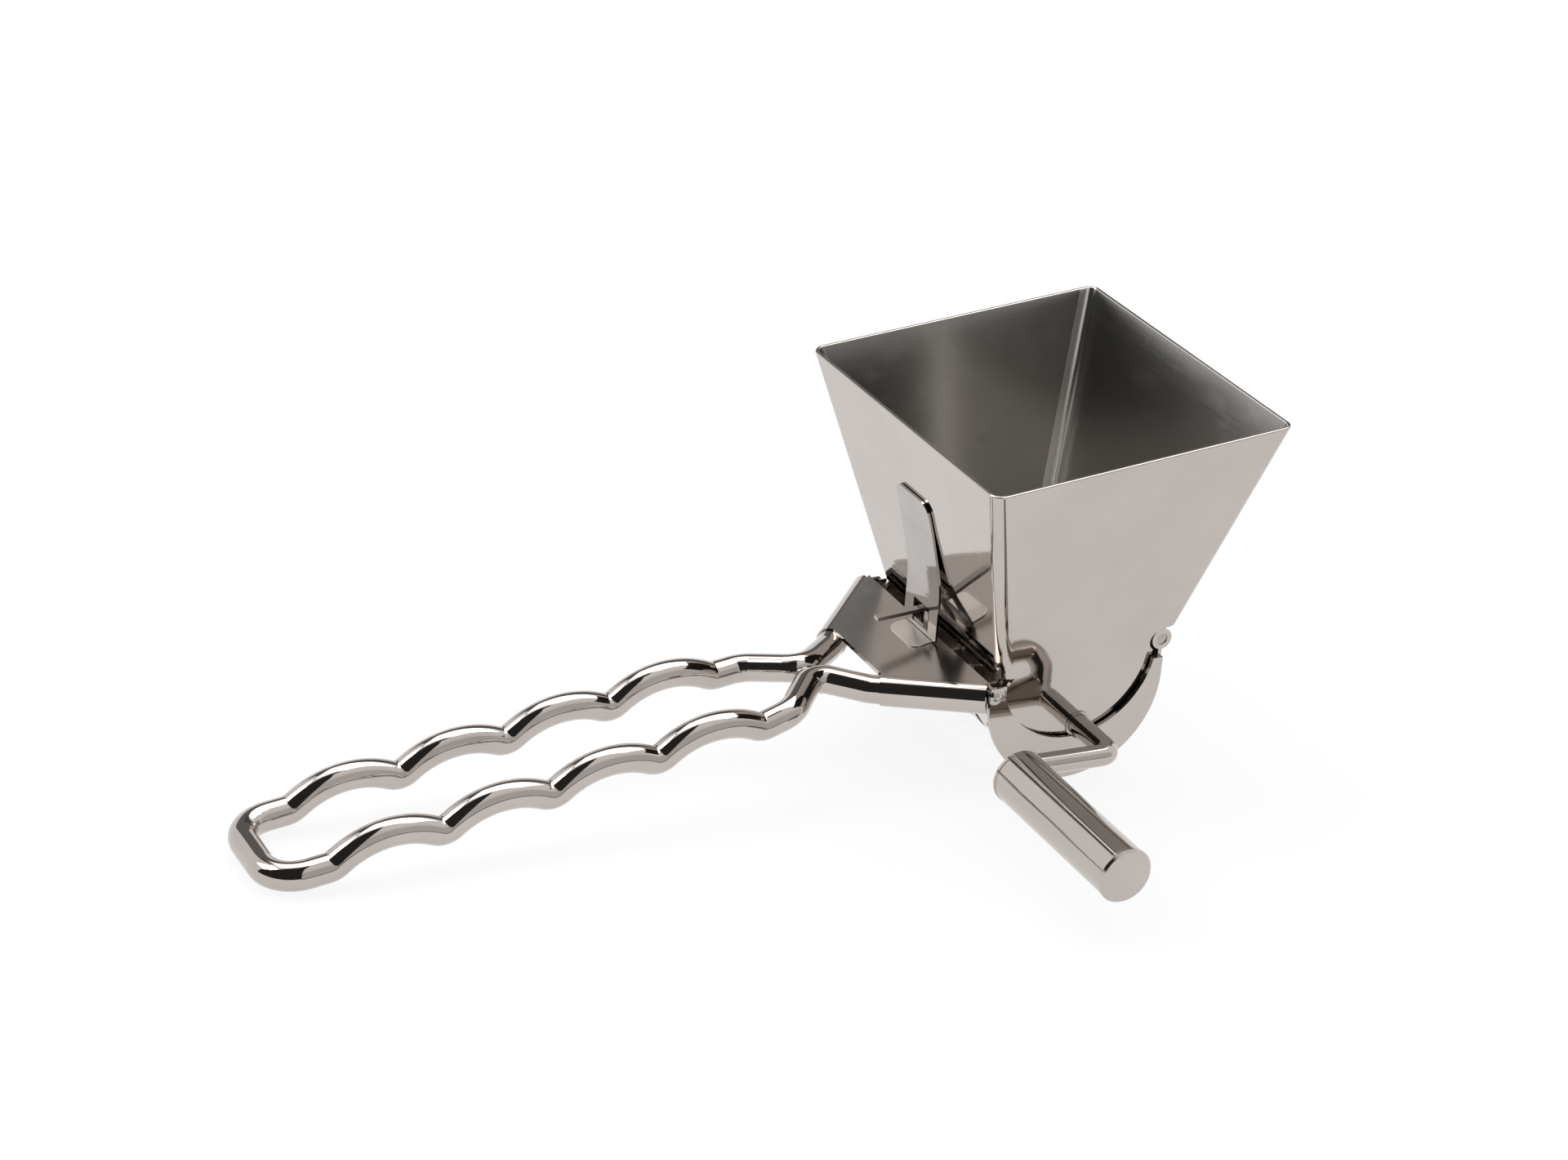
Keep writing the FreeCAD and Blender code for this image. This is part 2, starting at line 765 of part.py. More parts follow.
# Rear wall: the sheet that closes the hopper at the back, bent round both rear corners to meet the
# end plates, its foot rolled into two knuckles that sit between those of the pan.
wall_low = hinge_in.z + clear_radius
behind_seam = across(
    [
        (seam(wall_low), wall_low),
        (4 * WIDE, wall_low),
        (4 * WIDE, 2 * rim_z),
        (seam(2 * rim_z), 2 * rim_z),
    ]
)
wall = shell.common(behind_seam)
rear_inset = skin * math.hypot(1, rear_run)
gap = num("knuckle_gap")
roll_long = num("knuckle_step") - num("knuckle_length") - 2 * gap
for index in range(2):
    pan_knuckle_end = num("pan_half_length") - index * num("knuckle_step") - num("knuckle_length")
    start = pan_knuckle_end - gap - roll_long
    tab_top = wall_low + SPARE
    tab = [
        vec(rear_face(tab_top), start, tab_top),
        vec(rear_face(wall_foot_z), start, wall_foot_z),
        vec(rear_face(wall_foot_z) - rear_inset, start, wall_foot_z),
        vec(rear_face(tab_top) - rear_inset, start, tab_top),
    ]
    roll = Part.makeCylinder(knuckle, roll_long, vec(hinge_in.x, start, hinge_in.z), vec(0, 1, 0))
    wall = wall.fuse(prism(tab, vec(0, roll_long, 0))).fuse(roll)
bore_radius = num("pin_radius") + num("running_gap")
pin_bore = Part.makeCylinder(bore_radius, 2 * WIDE, vec(hinge_in.x, -WIDE, hinge_in.z), vec(0, 1, 0))
rear_wall = doc.addObject("Part::Feature", "rear_wall_sheet")
rear_wall.Shape = wall.cut(pin_bore).removeSplitter()
rear_wall.Placement = hopper_place
hand_in(rear_wall, "rear_wall")

# Hinge pin: a plain steel pin held in the pan's knuckles.
pin_short = 0.2
pin_half = pan_half - pin_short
hinge_pin = bar("hinge_pin_bar", (HINGE[0], pin_half, HINGE[1]), PIN, 2 * pin_half)
hand_in(hinge_pin, "hinge_pin")

# Shaft bushes: one in each end plate, its collar on the inside.
rod = dim("rod_radius")
bush_bore = rod + dim("running_gap")
plate_out = dim("throat_half")
plate_in = plate_out - GAUGE
bush_lip = dim("bush_lip")
for side, label in ((-1, "near"), (1, "far")):
    corners = [
        (bush_bore, side * (plate_in - bush_lip)),
        (dim("bush_collar"), side * (plate_in - bush_lip)),
        (dim("bush_collar"), side * plate_in),
        (dim("bush_radius"), side * plate_in),
        (dim("bush_radius"), side * (plate_out + 0.5 * bush_lip)),
        (bush_bore, side * (plate_out + 0.5 * bush_lip)),
    ]
    hand_in(turned("bush_%s_ring" % label, SHAFT, corners), "bush_" + label)

# Crank: one round rod that is the drum's shaft, the arm and the pin for the grip.
clip_in = plate_out + bush_lip
clip_out = clip_in + dim("clip_gauge")
shaft_x = num("shaft_x")
shaft_z = num("shaft_height")
pin_end = num("grip_start") - num("stop_depth") - 2 * num("bush_lip") - num("gauge")
crank_points = [
    vec(shaft_x, clip_out.value, shaft_z),
    vec(shaft_x, num("crank_plane"), shaft_z),
    vec(num("grip_x"), num("crank_plane"), num("grip_height")),
    vec(num("grip_x"), pin_end, num("grip_height")),
]
crank_path = bent_path(crank_points, [num("rod_bend"), num("rod_bend")])
hand_in(bent_rod("crank_rod_bar", crank_path, rod), "crank_rod")

# Drum: a tube on the shaft with a disc at each end and a row of toothed cutters between them.
snug = rod + dim("snug_gap")
core_half = dim("core_half_length")
core = [
    (snug, -core_half),
    (dim("core_radius"), -core_half),
    (dim("core_radius"), core_half),
    (snug, core_half),
]
hand_in(turned("drum_core_tube", SHAFT, core), "drum_core")
for side, label in ((-1, "near"), (1, "far")):
    inner_face = side * core_half
    outer_face = side * (core_half + GAUGE)
    end_disc = [
        (snug, inner_face),
        (dim("end_disc_radius"), inner_face),
        (dim("end_disc_radius"), outer_face),
        (snug, outer_face),
    ]
    hand_in(turned("drum_disc_%s_ring" % label, SHAFT, end_disc), "drum_disc_" + label)

# One cutter: a flat ring with hooked teeth; the row turns each cutter a little past its neighbour.
cutter = doc.addObject("PartDesign::Body", "cutter")
cutter_in = dim("core_radius") + dim("snug_gap")
half_cutter = 0.5 * dim("cutter_gauge")
web = outline(
    cutter,
    "cutter_section",
    "XY_Plane",
    [
        (cutter_in, -half_cutter),
        (dim("cutter_root"), -half_cutter),
        (dim("cutter_root"), half_cutter),
        (cutter_in, half_cutter),
    ],
)
ring = cutter.newObject("PartDesign::Revolution", "cutter_ring")
ring.Profile = web
ring.ReferenceAxis = (web, ["V_Axis"])
ring.Angle = 360.0
tooth_foot = dim("cutter_root") - GAUGE
tooth_tip = dim("cutter_tip") - dim("tooth_trim")
tooth_sketch = outline(
    cutter,
    "tooth_section",
    "XZ_Plane",
    [
        (-dim("tooth_heel"), tooth_foot),
        (dim("tooth_face"), tooth_foot),
        (dim("tooth_land") + dim("tooth_trim"), tooth_tip),
        (dim("tooth_trim"), tooth_tip),
        (-dim("tooth_land"), tooth_tip - dim("tooth_face")),
    ],
)
tooth = cutter.newObject("PartDesign::Pad", "tooth")
tooth.Profile = tooth_sketch
tooth.Midplane = True
bind(tooth, Length=dim("cutter_gauge"))
teeth = cutter.newObject("PartDesign::PolarPattern", "teeth")
teeth.Originals = [tooth]
teeth.Axis = ([item for item in cutter.Origin.OriginFeatures if item.Role == "Y_Axis"][0], [""])
teeth.Angle = 360.0
teeth.Occurrences = int(num("tooth_count"))
teeth.setExpression("Occurrences", dim("tooth_count").text)
cutter.Tip = teeth
doc.recompute()
row = []
for index in range(int(num("cutter_count"))):
    one = cutter.Shape.copy()
    one.rotate(vec(0, 0, 0), vec(0, 1, 0), index * num("cutter_turn"))
    one.translate(vec(shaft_x, (index - middle_cutter) * num("cutter_pitch"), shaft_z))
    row.append(one)
cutters = doc.addObject("Part::Feature", "cutter_row")
cutters.Shape = Part.makeCompound(row)
hand_in(cutters, "cutters")

# Shaft clip: a pushed-on washer that keeps the shaft in the far end plate.
clip = [(snug, clip_in), (dim("clip_radius"), clip_in), (dim("clip_radius"), clip_out), (snug, clip_out)]
hand_in(turned("shaft_clip_ring", SHAFT, clip), "shaft_clip")

# Grip: a thin tube that spins on the crank's pin, closed by a bearing collar at the arm and by a
# flat cap at the outer end; a clip on the pin inside keeps it on.
grip_axis = (dim("grip_x"), dim("grip_height"))
grip = dim("grip_radius")
tube_out = grip - dim("grip_proud")
tube_in = tube_out - dim("grip_skin")
plug = tube_in - dim("snug_gap")
grip_in = dim("grip_start")
grip_out = grip_in - dim("grip_length")
tube_start = grip_in - dim("grip_lip")
tube_end = grip_out + dim("grip_lip")
tube = [(tube_in, tube_start), (tube_out, tube_start), (tube_out, tube_end), (tube_in, tube_end)]
hand_in(turned("grip_tube_skin", grip_axis, tube), "grip_tube")
edge_round = dim("grip_edge")
collar = [
    (bush_bore, grip_in),
    (grip - edge_round, grip_in),
    (grip, grip_in - edge_round),
    (grip, tube_start),
    (plug, tube_start),
    (plug, tube_start - dim("plug_depth")),
    (bush_bore, tube_start - dim("plug_depth")),
]
hand_in(turned("grip_collar_turned", grip_axis, collar), "grip_collar")
cap = [
    (as_size(0), grip_out),
    (grip - edge_round, grip_out),
    (grip, grip_out + edge_round),
    (grip, tube_end),
    (plug, tube_end),
    (plug, tube_end + dim("plug_depth")),
    (as_size(0), tube_end + dim("plug_depth")),
]
hand_in(turned("grip_cap_turned", grip_axis, cap), "grip_cap")
stop_in = grip_in - dim("stop_depth")
stop_out = stop_in - GAUGE
stop = [(snug, stop_in), (dim("stop_radius"), stop_in), (dim("stop_radius"), stop_out), (snug, stop_out)]
hand_in(turned("grip_clip_ring", grip_axis, stop), "grip_clip")

doc.recompute()
for thing in doc.Objects:
    if "Invalid" in thing.State or "Error" in thing.State:
        raise RuntimeError("not built: " + thing.Name)
os.makedirs("parts", exist_ok=True)
for node in nodes:
    if node.Shape.isNull() or not node.Shape.isValid():
        raise RuntimeError("bad shape: " + node.Label)
    node.Shape.exportStep("parts/%s.step" % node.Label)
    edge = node.Shape.BoundBox
    print(node.Label, len(node.Shape.Solids), round(node.Shape.Volume, 1), edge)
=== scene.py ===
import math

import bpy
from mathutils import Matrix, Vector


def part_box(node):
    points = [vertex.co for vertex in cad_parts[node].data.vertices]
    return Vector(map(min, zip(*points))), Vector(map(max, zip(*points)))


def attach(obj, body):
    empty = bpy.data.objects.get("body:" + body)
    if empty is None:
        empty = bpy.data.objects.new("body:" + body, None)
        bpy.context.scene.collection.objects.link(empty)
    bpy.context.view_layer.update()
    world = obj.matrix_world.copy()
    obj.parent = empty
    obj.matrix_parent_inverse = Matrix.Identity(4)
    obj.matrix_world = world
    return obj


# A small rotary herb mill of polished stainless sheet and wire, in metres, lying on a table.
# +X runs from the wire handle to the hopper's rear, -Y is the crank side and +Z is up.
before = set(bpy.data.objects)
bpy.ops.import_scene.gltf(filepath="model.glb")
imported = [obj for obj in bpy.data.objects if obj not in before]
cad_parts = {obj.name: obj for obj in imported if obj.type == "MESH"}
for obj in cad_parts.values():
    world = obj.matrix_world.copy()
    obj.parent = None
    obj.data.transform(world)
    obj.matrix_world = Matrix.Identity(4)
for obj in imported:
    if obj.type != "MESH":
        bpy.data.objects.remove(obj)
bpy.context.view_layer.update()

# Pan: the round trough that the cutters run in, pressed from bright rolled stainless sheet.
# Its rolling lines run along the trough, and use has left faint smears and fine pits on it.
MM = 1000.0
SHEET_TONE = (0.520, 0.478, 0.448)
SHEET_SHADE = (0.490, 0.449, 0.420)

# Polishing lines: how many there are to the millimetre along X, Y and Z, long along one of them.
ALONG_X = (0.04, 2.6, 2.6)
ALONG_Y = (2.6, 0.04, 2.6)
ALONG_Z = (2.6, 2.6, 0.04)
LINE_LAYERS = 4.0
LINE_HAZE = 0.06
NOISE_MIDDLE = 0.5
NOISE_ROUGHNESS = 0.6

# Marks on the steel: how many there are to the millimetre along X, Y and Z, and their fineness.
CLOUD = ((0.05, 0.05, 0.05), 3.0)
CLOUD_EDGES = (0.3, 0.7)
SMEAR = ((0.11, 0.09, 0.14), 4.0)
SMEAR_EDGES = (0.52, 0.78)
SMEAR_HAZE = 0.04
PIT = ((1.1, 1.1, 1.1), 2.0)
PIT_EDGES = (0.74, 0.82)
PIT_COVER = 0.35
PIT_DARKENING = 0.6
PIT_HAZE = 0.05
SWELL = ((0.07, 0.07, 0.07), 1.0)
SWELL_HEIGHT = 0.05

# Where the lining of a hollow piece begins, in millimetres, and how level a flat face has to be.
LINING_EDGES = (-1.0, 3.0)
FLAT_EDGES = (0.985, 0.998)


class Reading:
    """A number, vector or colour in one finish's node tree, written with plain arithmetic."""

    def __init__(self, tree, socket=None):
        self.tree = tree
        self.socket = socket

    def add(self, kind, settings, sockets, out=0):
        made = self.tree.nodes.new(kind)
        for key, value in settings.items():
            setattr(made, key, value)
        for key, value in sockets.items():
            if isinstance(value, Reading):
                self.tree.links.new(value.socket, made.inputs[key])
            else:
                made.inputs[key].default_value = value
        return Reading(self.tree, made.outputs[out])

    def maths(self, operation, first, second):
        kind = "ShaderNodeMath"
        for side in (first, second):
            if isinstance(side, Reading) and side.socket.type == "VECTOR":
                kind = "ShaderNodeVectorMath"
        return self.add(kind, {"operation": operation}, {0: first, 1: second})

    def __add__(self, other):
        return self.maths("ADD", self, other)

    def __radd__(self, other):
        return self.maths("ADD", other, self)

    def __sub__(self, other):
        return self.maths("SUBTRACT", self, other)

    def __rsub__(self, other):
        return self.maths("SUBTRACT", other, self)

    def __mul__(self, other):
        return self.maths("MULTIPLY", self, other)

    def __rmul__(self, other):
        return self.maths("MULTIPLY", other, self)


def noise(at, stretch, detail):
    """Cloudy noise from 0 to 1, with its number of clouds to the millimetre along X, Y and Z."""
    sizes = {"Vector": at * stretch, "Scale": 1.0, "Detail": detail, "Roughness": NOISE_ROUGHNESS}
    return at.add("ShaderNodeTexNoise", {}, sizes)


def between(reading, low, high):
    """The reading's stretch from low to high, spread over 0 to 1."""
    sizes = {"Value": reading, "From Min": low, "From Max": high}
    return reading.add("ShaderNodeMapRange", {"interpolation_type": "SMOOTHSTEP"}, sizes)


def blend(share, first, second):
    """A colour that goes from the first to the second as the share goes from 0 to 1."""
    return share.add("ShaderNodeMix", {"data_type": "RGBA"}, {"Factor": share, 6: first, 7: second}, 2)


def facing(tree):
    """The direction that each point of a surface faces."""
    return Reading(tree).add("ShaderNodeTexCoord", {}, {}, "Normal")


def along(first, second):
    """How far one vector goes along the direction of another."""
    return first.add("ShaderNodeVectorMath", {"operation": "DOT_PRODUCT"}, {0: first, 1: second}, 1)


def steel(name, tone, shade, haze, grain, lines=1.0, waves=1.0, lining=None, flat=None):
    """Bright stainless: cloudy tone, fine polishing lines along the grain, smears and a soft wave."""
    finish = bpy.data.materials.new(name)
    finish.use_nodes = True
    tree = finish.node_tree
    at = Reading(tree).add("ShaderNodeTexCoord", {}, {}, "Object") * (MM, MM, MM)
    cloud = between(noise(at, *CLOUD), *CLOUD_EDGES)
    smear = between(noise(at, *SMEAR), *SMEAR_EDGES)
    pit = between(noise(at, *PIT), *PIT_EDGES)
    line = noise(at, grain, LINE_LAYERS)
    pit_shade = [part * PIT_DARKENING for part in shade]
    colour = blend(cloud, (*shade, 1), (*tone, 1))
    colour = blend(pit * PIT_COVER, colour, (*pit_shade, 1))
    rough = haze + smear * SMEAR_HAZE + (line - NOISE_MIDDLE) * (LINE_HAZE * lines) + pit * PIT_HAZE
    # The inside faces of a hollow piece are blended to a painted tone that stands for the light or
    # shade inside it, and get more roughness.
    if lining:
        middle, inner_painted_tone, inner_haze = lining
        inner = between(0 - along(at - middle, facing(tree)), *LINING_EDGES)
        colour = blend(inner, colour, (*inner_painted_tone, 1))
        rough = rough + inner * inner_haze
    if flat:
        direction, flat_haze = flat
        rough = rough + between(along(facing(tree), direction), *FLAT_EDGES) * flat_haze
    height = noise(at, *SWELL) * (SWELL_HEIGHT * waves)
    bump = at.add("ShaderNodeBump", {}, {"Strength": 1.0, "Distance": 1 / MM, "Height": height})
    face = tree.nodes["Principled BSDF"]
    face.inputs["Metallic"].default_value = 1.0
    tree.links.new(colour.socket, face.inputs["Base Color"])
    tree.links.new(rough.socket, face.inputs["Roughness"])
    tree.links.new(bump.socket, face.inputs["Normal"])
    return finish


def wear(finish, *names):
    """Puts one finish on every material slot of the named CAD nodes."""
    for name in names:
        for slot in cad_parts[name].material_slots:
            slot.material = finish


wear(steel("pan_finish", SHEET_TONE, SHEET_SHADE, haze=0.08, grain=ALONG_Y), "pan")

# Cheeks: two flat crescents blanked from the same sheet that close the ends of the pan, each
# held at its front tip by one rivet with a rounded, hammered head.
cheek_finish = steel("cheek_finish", SHEET_TONE, SHEET_SHADE, haze=0.07, grain=ALONG_X)
rivet_finish = steel(
    "rivet_finish", SHEET_TONE, SHEET_SHADE, haze=0.14, grain=ALONG_Z, lines=0.4, waves=6.0
)
wear(cheek_finish, "cheek_near", "cheek_far")
wear(rivet_finish, "cheek_rivets")

# Bracket: a sloping sheet plate whose slanted sides are rolled into sleeves round the handle.
# The sleeves are buffed bright, and the flat of the plate keeps the softer gloss of the rolled sheet.
PLATE_FACING = (-0.15, 0.0, 0.99)
PLATE_HAZE = 0.15
plate_flat = (PLATE_FACING, PLATE_HAZE)
bracket_finish = steel(
    "bracket_finish", SHEET_TONE, SHEET_SHADE, haze=0.06, grain=ALONG_Y, flat=plate_flat
)
wear(bracket_finish, "bracket")

# Handle: one drawn stainless wire bent into a loop with finger waves, mirror polished on the buff.
# Its two ends run into the bracket's sleeves, which hold it.
WIRE_TONE = (0.520, 0.475, 0.445)
WIRE_SHADE = (0.480, 0.436, 0.406)
wear(steel("wire_finish", WIRE_TONE, WIRE_SHADE, haze=0.06, grain=ALONG_X, lines=0.5), "handle_wire")

# Latch: a narrow hook blade on the bracket, and a strip of spring steel that leans on the hopper's
# front wall. Both are cut from thin strip and bent, and the hook comes forward through the strip.
SPRING_TONE = (0.470, 0.440, 0.420)
SPRING_SHADE = (0.400, 0.372, 0.352)
wear(steel("hook_finish", SHEET_TONE, SHEET_SHADE, haze=0.26, grain=ALONG_X), "latch_hook")
wear(steel("leaf_finish", SPRING_TONE, SPRING_SHADE, haze=0.06, grain=ALONG_Z), "latch_leaf")

# Leaf foot: the leaf's flat foot on the bracket's plate, round at its two front corners. It is thin
# spring steel with a satin face, and its colour is painted light, so it shows paler than the polished
# plate that it lies on.
# Painted light: the foot's tones are far paler than the steel's own, for the light its level face
# catches from overhead.
FOOT_PAINTED_LIGHT_TONE = (0.800, 0.750, 0.715)
FOOT_PAINTED_LIGHT_DIM = (0.740, 0.690, 0.655)
FOOT_FRONT = -0.0272
FOOT_REAR = -0.0214
FOOT_HALF = 0.0054
FOOT_CORNER = 0.0022
FOOT_GAUGE = 0.0003
FOOT_EDGE = 0.00006
CORNER_STEPS = 10
EDGE_STEPS = 2
PLATE_REAR = -0.0205
PLATE_RISE = 0.153
plate_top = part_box("bracket")[1][2]
far_side = []
for step in range(CORNER_STEPS, -1, -1):
    angle = math.radians(90 * step / CORNER_STEPS)
    inset = FOOT_CORNER * (1 - math.cos(angle))
    far_side.append((FOOT_FRONT + inset, FOOT_HALF - FOOT_CORNER * (1 - math.sin(angle))))
near_side = [(x, -y) for x, y in reversed(far_side)]
outline = [(FOOT_REAR, FOOT_HALF), *far_side, *near_side, (FOOT_REAR, -FOOT_HALF)]
count = len(outline)
below = [(x, y, plate_top + PLATE_RISE * (x - PLATE_REAR)) for x, y in outline]
above = [(x, y, z + FOOT_GAUGE) for x, y, z in below]
faces = [range(count - 1, -1, -1), range(count, 2 * count)]
for point in range(count):
    following = (point + 1) % count
    faces.append((point, following, following + count, point + count))
foot_mesh = bpy.data.meshes.new("leaf_foot")
foot_mesh.from_pydata(below + above, [], faces)
foot_mesh.materials.append(steel("foot_finish_and_painted_light", FOOT_PAINTED_LIGHT_TONE, FOOT_PAINTED_LIGHT_DIM, haze=0.34, grain=ALONG_X))
leaf_foot = bpy.data.objects.new("leaf_foot", foot_mesh)
bpy.context.scene.collection.objects.link(leaf_foot)
edge = leaf_foot.modifiers.new("edge", "BEVEL")
edge.width = FOOT_EDGE
edge.segments = EDGE_STEPS
edge.limit_method = "ANGLE"
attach(leaf_foot, "base")

# Hopper: a funnel of bright sheet, front wall and end plates bent from one piece round the front
# corners and the rear wall seamed on behind. Inside it keeps the satin of the rolled sheet, with
# painted shade inside the front wall and end plates and painted light inside the rear wall.
HOPPER_MIDDLE = (4.0, 0.0, 45.0)
# Painted shade: the inside of the front wall and end plates is painted darker than the steel.
WRAP_INSIDE_PAINTED_SHADE = (0.330, 0.318, 0.298)
WRAP_LINING_HAZE = 0.12
# Painted light: the inside of the rear wall is painted paler than the steel.
REAR_INSIDE_PAINTED_LIGHT = (0.660, 0.642, 0.612)
REAR_LINING_HAZE = 0.16
wrap_lining = (HOPPER_MIDDLE, WRAP_INSIDE_PAINTED_SHADE, WRAP_LINING_HAZE)
rear_lining = (HOPPER_MIDDLE, REAR_INSIDE_PAINTED_LIGHT, REAR_LINING_HAZE)
hopper_finish_and_painted_shade = steel(
    "hopper_finish_and_painted_shade", SHEET_TONE, SHEET_SHADE, haze=0.06, grain=ALONG_X, lining=wrap_lining
)
rear_wall_finish_and_painted_light = steel(
    "rear_wall_finish_and_painted_light", SHEET_TONE, SHEET_SHADE, haze=0.06, grain=ALONG_Y, lining=rear_lining
)
wear(hopper_finish_and_painted_shade, "hopper_wrap")
wear(rear_wall_finish_and_painted_light, "rear_wall")

# Hinge pin: plain drawn steel wire that the hopper swings on. It is held in the knuckles rolled
# along the pan's rear edge and along the foot of the rear wall.
wear(steel("pin_finish", SPRING_TONE, SPRING_SHADE, haze=0.18, grain=ALONG_Y), "hinge_pin")

# Shaft bushes: turned steel rings in the hopper's end plates, each with a collar on the inside.
# The crank's shaft runs in them.
wear(steel("bush_finish", SPRING_TONE, SPRING_SHADE, haze=0.16, grain=ALONG_Y), "bush_near", "bush_far")

# Crank: one polished round steel rod, bent twice, that is the shaft, the arm and the grip's pin.
# It runs through both bushes and carries the drum between them.
wear(steel("crank_finish", WIRE_TONE, WIRE_SHADE, haze=0.07, grain=ALONG_Y, lines=0.5), "crank_rod")

# Drum: a steel tube on the shaft with a disc at each end and nine toothed cutters between them.
# Clips pushed on keep the shaft in the far end plate and the grip on its pin.
disc_finish = steel("disc_finish", SPRING_TONE, SPRING_SHADE, haze=0.18, grain=ALONG_X)
clip_finish = steel("clip_finish", SPRING_TONE, SPRING_SHADE, haze=0.18, grain=ALONG_X)
wear(steel("drum_finish", SPRING_TONE, SPRING_SHADE, haze=0.20, grain=ALONG_Y), "drum_core")
wear(disc_finish, "drum_disc_near", "drum_disc_far")
wear(steel("cutter_finish", SHEET_TONE, SHEET_SHADE, haze=0.16, grain=ALONG_X), "cutters")
wear(clip_finish, "shaft_clip", "grip_clip")

# Grip: a thin drawn tube of bright steel that turns freely on the crank's pin. A turned collar
# closes it at the arm and a flat faced cap at the outer end.
wear(steel("grip_finish", SHEET_TONE, SHEET_SHADE, haze=0.09, grain=ALONG_Y), "grip_tube")
wear(steel("collar_finish", SHEET_TONE, SHEET_SHADE, haze=0.12, grain=ALONG_Z), "grip_collar")
wear(steel("cap_finish", SHEET_TONE, SHEET_SHADE, haze=0.16, grain=ALONG_Z), "grip_cap")

# Table and studio: a pale floor that keeps a soft contact shadow, a large softbox overhead and a
# smaller lamp to the left, and dark, grey and pale cards round the table that the steel mirrors.
FLOOR_HALF = 6.0
FLOOR_SHADE = 0.12
FLOOR_ROUGH = 0.9
FLOOR_GLOW = 0.88
WHITE = (1, 1, 1, 1)
BLACK = (0, 0, 0, 1)


def seen_ray(tree):
    """1 for a ray from the camera, or one that mirrors or passes through something, else 0."""
    start = Reading(tree)
    camera = start.add("ShaderNodeLightPath", {}, {}, "Is Camera Ray")
    mirrored = start.add("ShaderNodeLightPath", {}, {}, "Is Glossy Ray")
    passed = start.add("ShaderNodeLightPath", {}, {}, "Is Transmission Ray")
    return start.maths("MAXIMUM", start.maths("MAXIMUM", camera, mirrored), passed)


def panel(name, corners):
    """One flat face of the stage."""
    mesh = bpy.data.meshes.new(name)
    mesh.from_pydata(corners, [], [range(len(corners))])
    thing = bpy.data.objects.new(name, mesh)
    bpy.context.scene.collection.objects.link(thing)
    return thing


side = FLOOR_HALF
floor = panel("floor", [(-side, -side, 0), (side, -side, 0), (side, side, 0), (-side, side, 0)])
paper = bpy.data.materials.new("floor_paper")
paper.use_nodes = True
face = paper.node_tree.nodes["Principled BSDF"]
face.inputs["Base Color"].default_value = (FLOOR_SHADE, FLOOR_SHADE, FLOOR_SHADE, 1)
face.inputs["Roughness"].default_value = FLOOR_ROUGH
face.inputs["Specular IOR Level"].default_value = 0.0
face.inputs["Emission Color"].default_value = WHITE
glow = seen_ray(paper.node_tree) * FLOOR_GLOW
paper.node_tree.links.new(glow.socket, face.inputs["Emission Strength"])
floor.data.materials.append(paper)

# Cards: where they stand along X and Y, and how high.
LEFT = -1.3
TURN = -0.35
BACK_LEFT = -0.4
RIGHT = 2.0
FRONT = -1.0
BACK = 1.2
LOW = 0.07
BACK_LOW = 0.45
HIGH = 1.05
FRONT_ROOF_EDGE = -0.62
LEFT_ROOF_EDGE = 0.12
LEFT_CARD_END = 0.4
BACK_ROOF_EDGE = 0.75


def card(name, corners, shade):
    """A board that only the steel sees, as bright as its shade."""
    thing = panel(name, corners)
    board = bpy.data.materials.new(name + "_board")
    board.use_nodes = True
    face = board.node_tree.nodes["Principled BSDF"]
    face.inputs["Base Color"].default_value = BLACK
    face.inputs["Specular IOR Level"].default_value = 0.0
    face.inputs["Emission Color"].default_value = WHITE
    face.inputs["Emission Strength"].default_value = shade
    thing.data.materials.append(board)
    thing.visible_camera = False
    thing.visible_shadow = False
    thing.visible_diffuse = False


def upright(name, start, end, low, high, shade):
    """A card that stands over the line from start to end, from low to high above the table."""
    card(name, [(*start, low), (*end, low), (*end, high), (*start, high)], shade)


def roof(name, corners, shade):
    """A level card overhead."""
    card(name, [(*corner, HIGH) for corner in corners], shade)


front_roof = [
    (TURN, FRONT),
    (RIGHT, FRONT),
    (RIGHT, FRONT_ROOF_EDGE),
    (-0.24, FRONT_ROOF_EDGE),
]
left_roof = [
    (LEFT, FRONT),
    (TURN, FRONT),
    (-0.05, 0.0),
    (-0.45, LEFT_ROOF_EDGE),
    (LEFT, LEFT_ROOF_EDGE),
]
back_roof = [
    (BACK_LEFT, BACK_ROOF_EDGE),
    (RIGHT, BACK_ROOF_EDGE),
    (RIGHT, BACK),
    (BACK_LEFT, BACK),
]
upright("front_strip", (TURN, FRONT), (RIGHT, FRONT), low=0.0, high=LOW, shade=0.06)
upright("front_card", (TURN, FRONT), (RIGHT, FRONT), low=LOW, high=HIGH, shade=0.65)
roof("front_roof", front_roof, shade=0.90)
upright("front_left_card", (LEFT, FRONT), (TURN, FRONT), low=LOW, high=HIGH, shade=0.03)
upright("left_card", (LEFT, FRONT), (LEFT, LEFT_CARD_END), low=LOW, high=HIGH, shade=0.03)
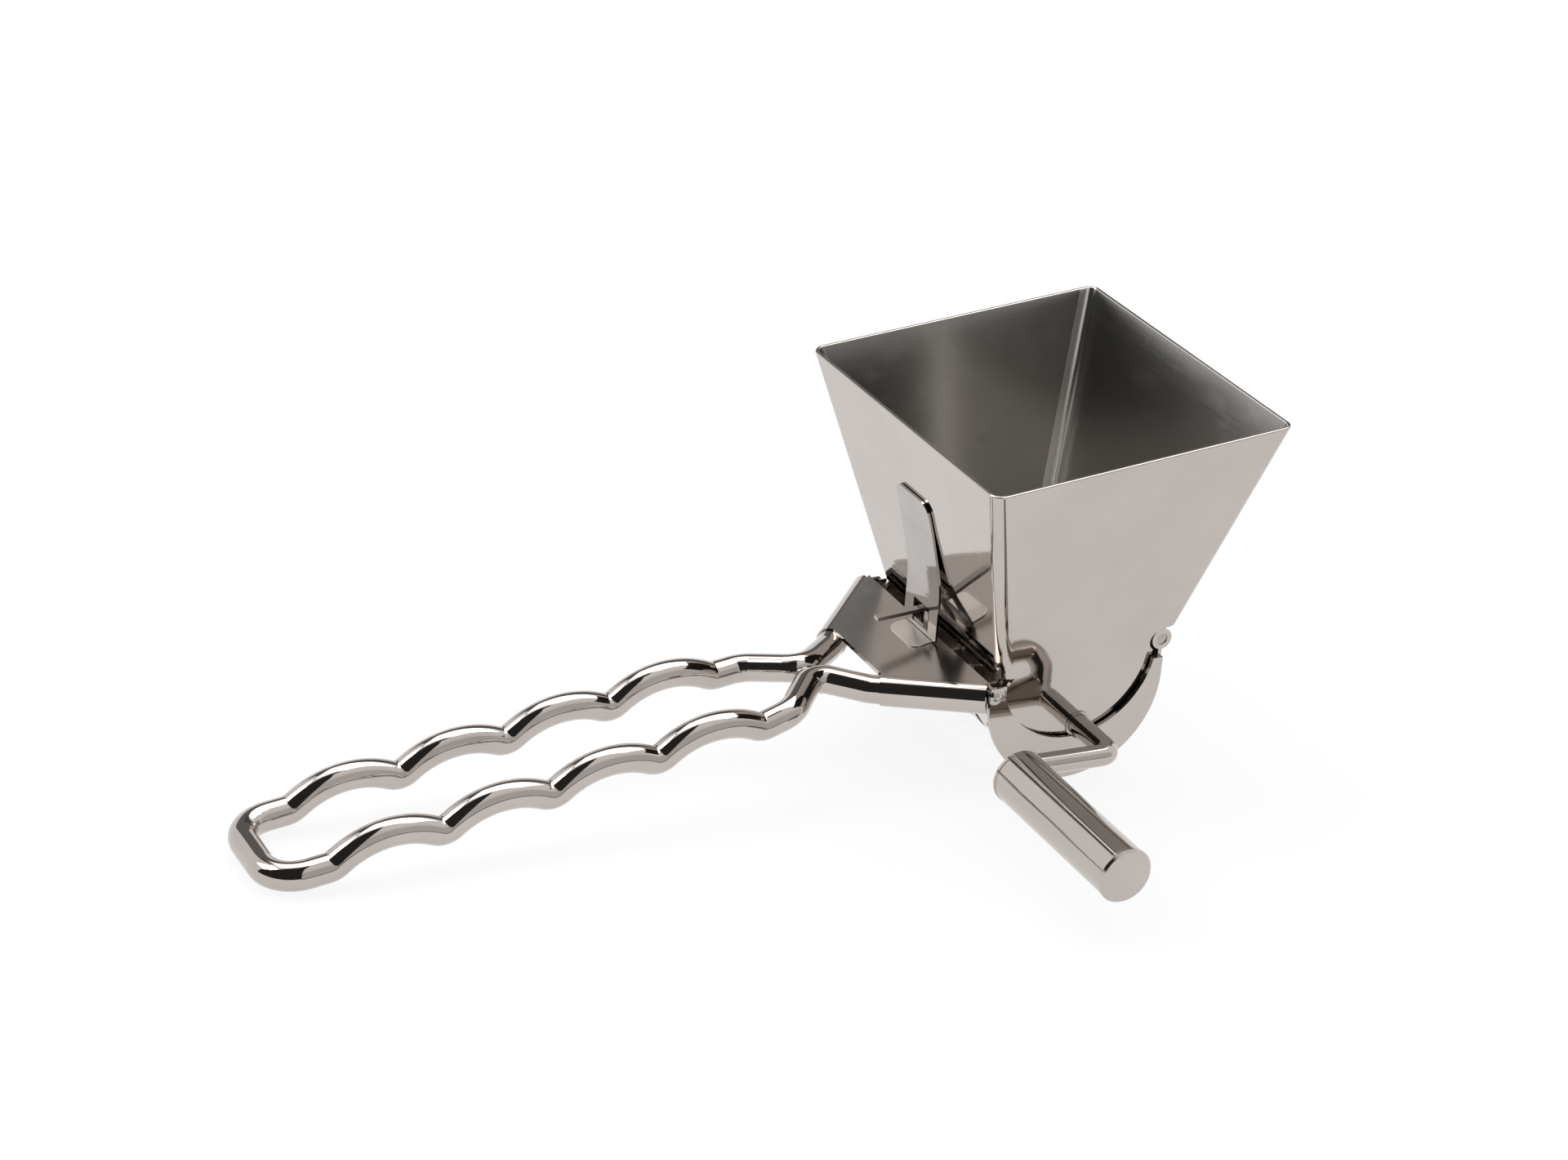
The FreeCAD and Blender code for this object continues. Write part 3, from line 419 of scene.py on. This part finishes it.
roof("left_roof", left_roof, shade=0.03)
upright("back_card", (BACK_LEFT, BACK), (RIGHT, BACK), low=BACK_LOW, high=HIGH, shade=0.18)
roof("back_roof", back_roof, shade=0.10)


def lamp(name, place, sides, power):
    """A flat lamp that faces the middle of the mill, wide by deep, which the camera doesn't see."""
    light = bpy.data.lights.new(name, "AREA")
    light.shape = "RECTANGLE"
    light.size, light.size_y = sides
    light.energy = power
    thing = bpy.data.objects.new(name, light)
    thing.location = place
    thing.rotation_euler = (-Vector(place)).to_track_quat("-Z", "Y").to_euler()
    thing.visible_camera = False
    bpy.context.scene.collection.objects.link(thing)


lamp("softbox", place=(0.228, 0.328, 1.05), sides=(1.3, 0.8), power=8.0)
lamp("side_lamp", place=(-0.90, 0.48, 1.0), sides=(0.6, 0.7), power=5.0)

ROOM_LEVEL = 0.6
ROOM_SEEN = 0.4
room = bpy.data.worlds.new("room")
room.use_nodes = True
air = room.node_tree.nodes["Background"]
air.inputs["Color"].default_value = WHITE
strength = ROOM_LEVEL + seen_ray(room.node_tree) * ROOM_SEEN
room.node_tree.links.new(strength.socket, air.inputs["Strength"])
bpy.context.scene.world = room
bpy.context.scene.view_settings.view_transform = "Standard"

# Camera: above the crank side, towards the handle's end, a little rolled, as a product
# photographer stands over a table.
CAMERA_PLACE = Vector((-0.3808, -0.5799, 0.3806))
CAMERA_AIM = Vector((-0.0143, 0.0731, 0.0))
CAMERA_ROLL = math.radians(4.27)
SENSOR_WIDTH = 36.0
LENS = 85.42
eye = bpy.data.cameras.new("camera")
eye.sensor_fit = "HORIZONTAL"
eye.sensor_width = SENSOR_WIDTH
eye.lens = LENS
camera = bpy.data.objects.new("camera", eye)
turn = (CAMERA_AIM - CAMERA_PLACE).to_track_quat("-Z", "Y").to_matrix().to_4x4()
camera.matrix_world = Matrix.Translation(CAMERA_PLACE) @ turn @ Matrix.Rotation(CAMERA_ROLL, 4, "Z")
bpy.context.scene.collection.objects.link(camera)
bpy.context.scene.camera = camera
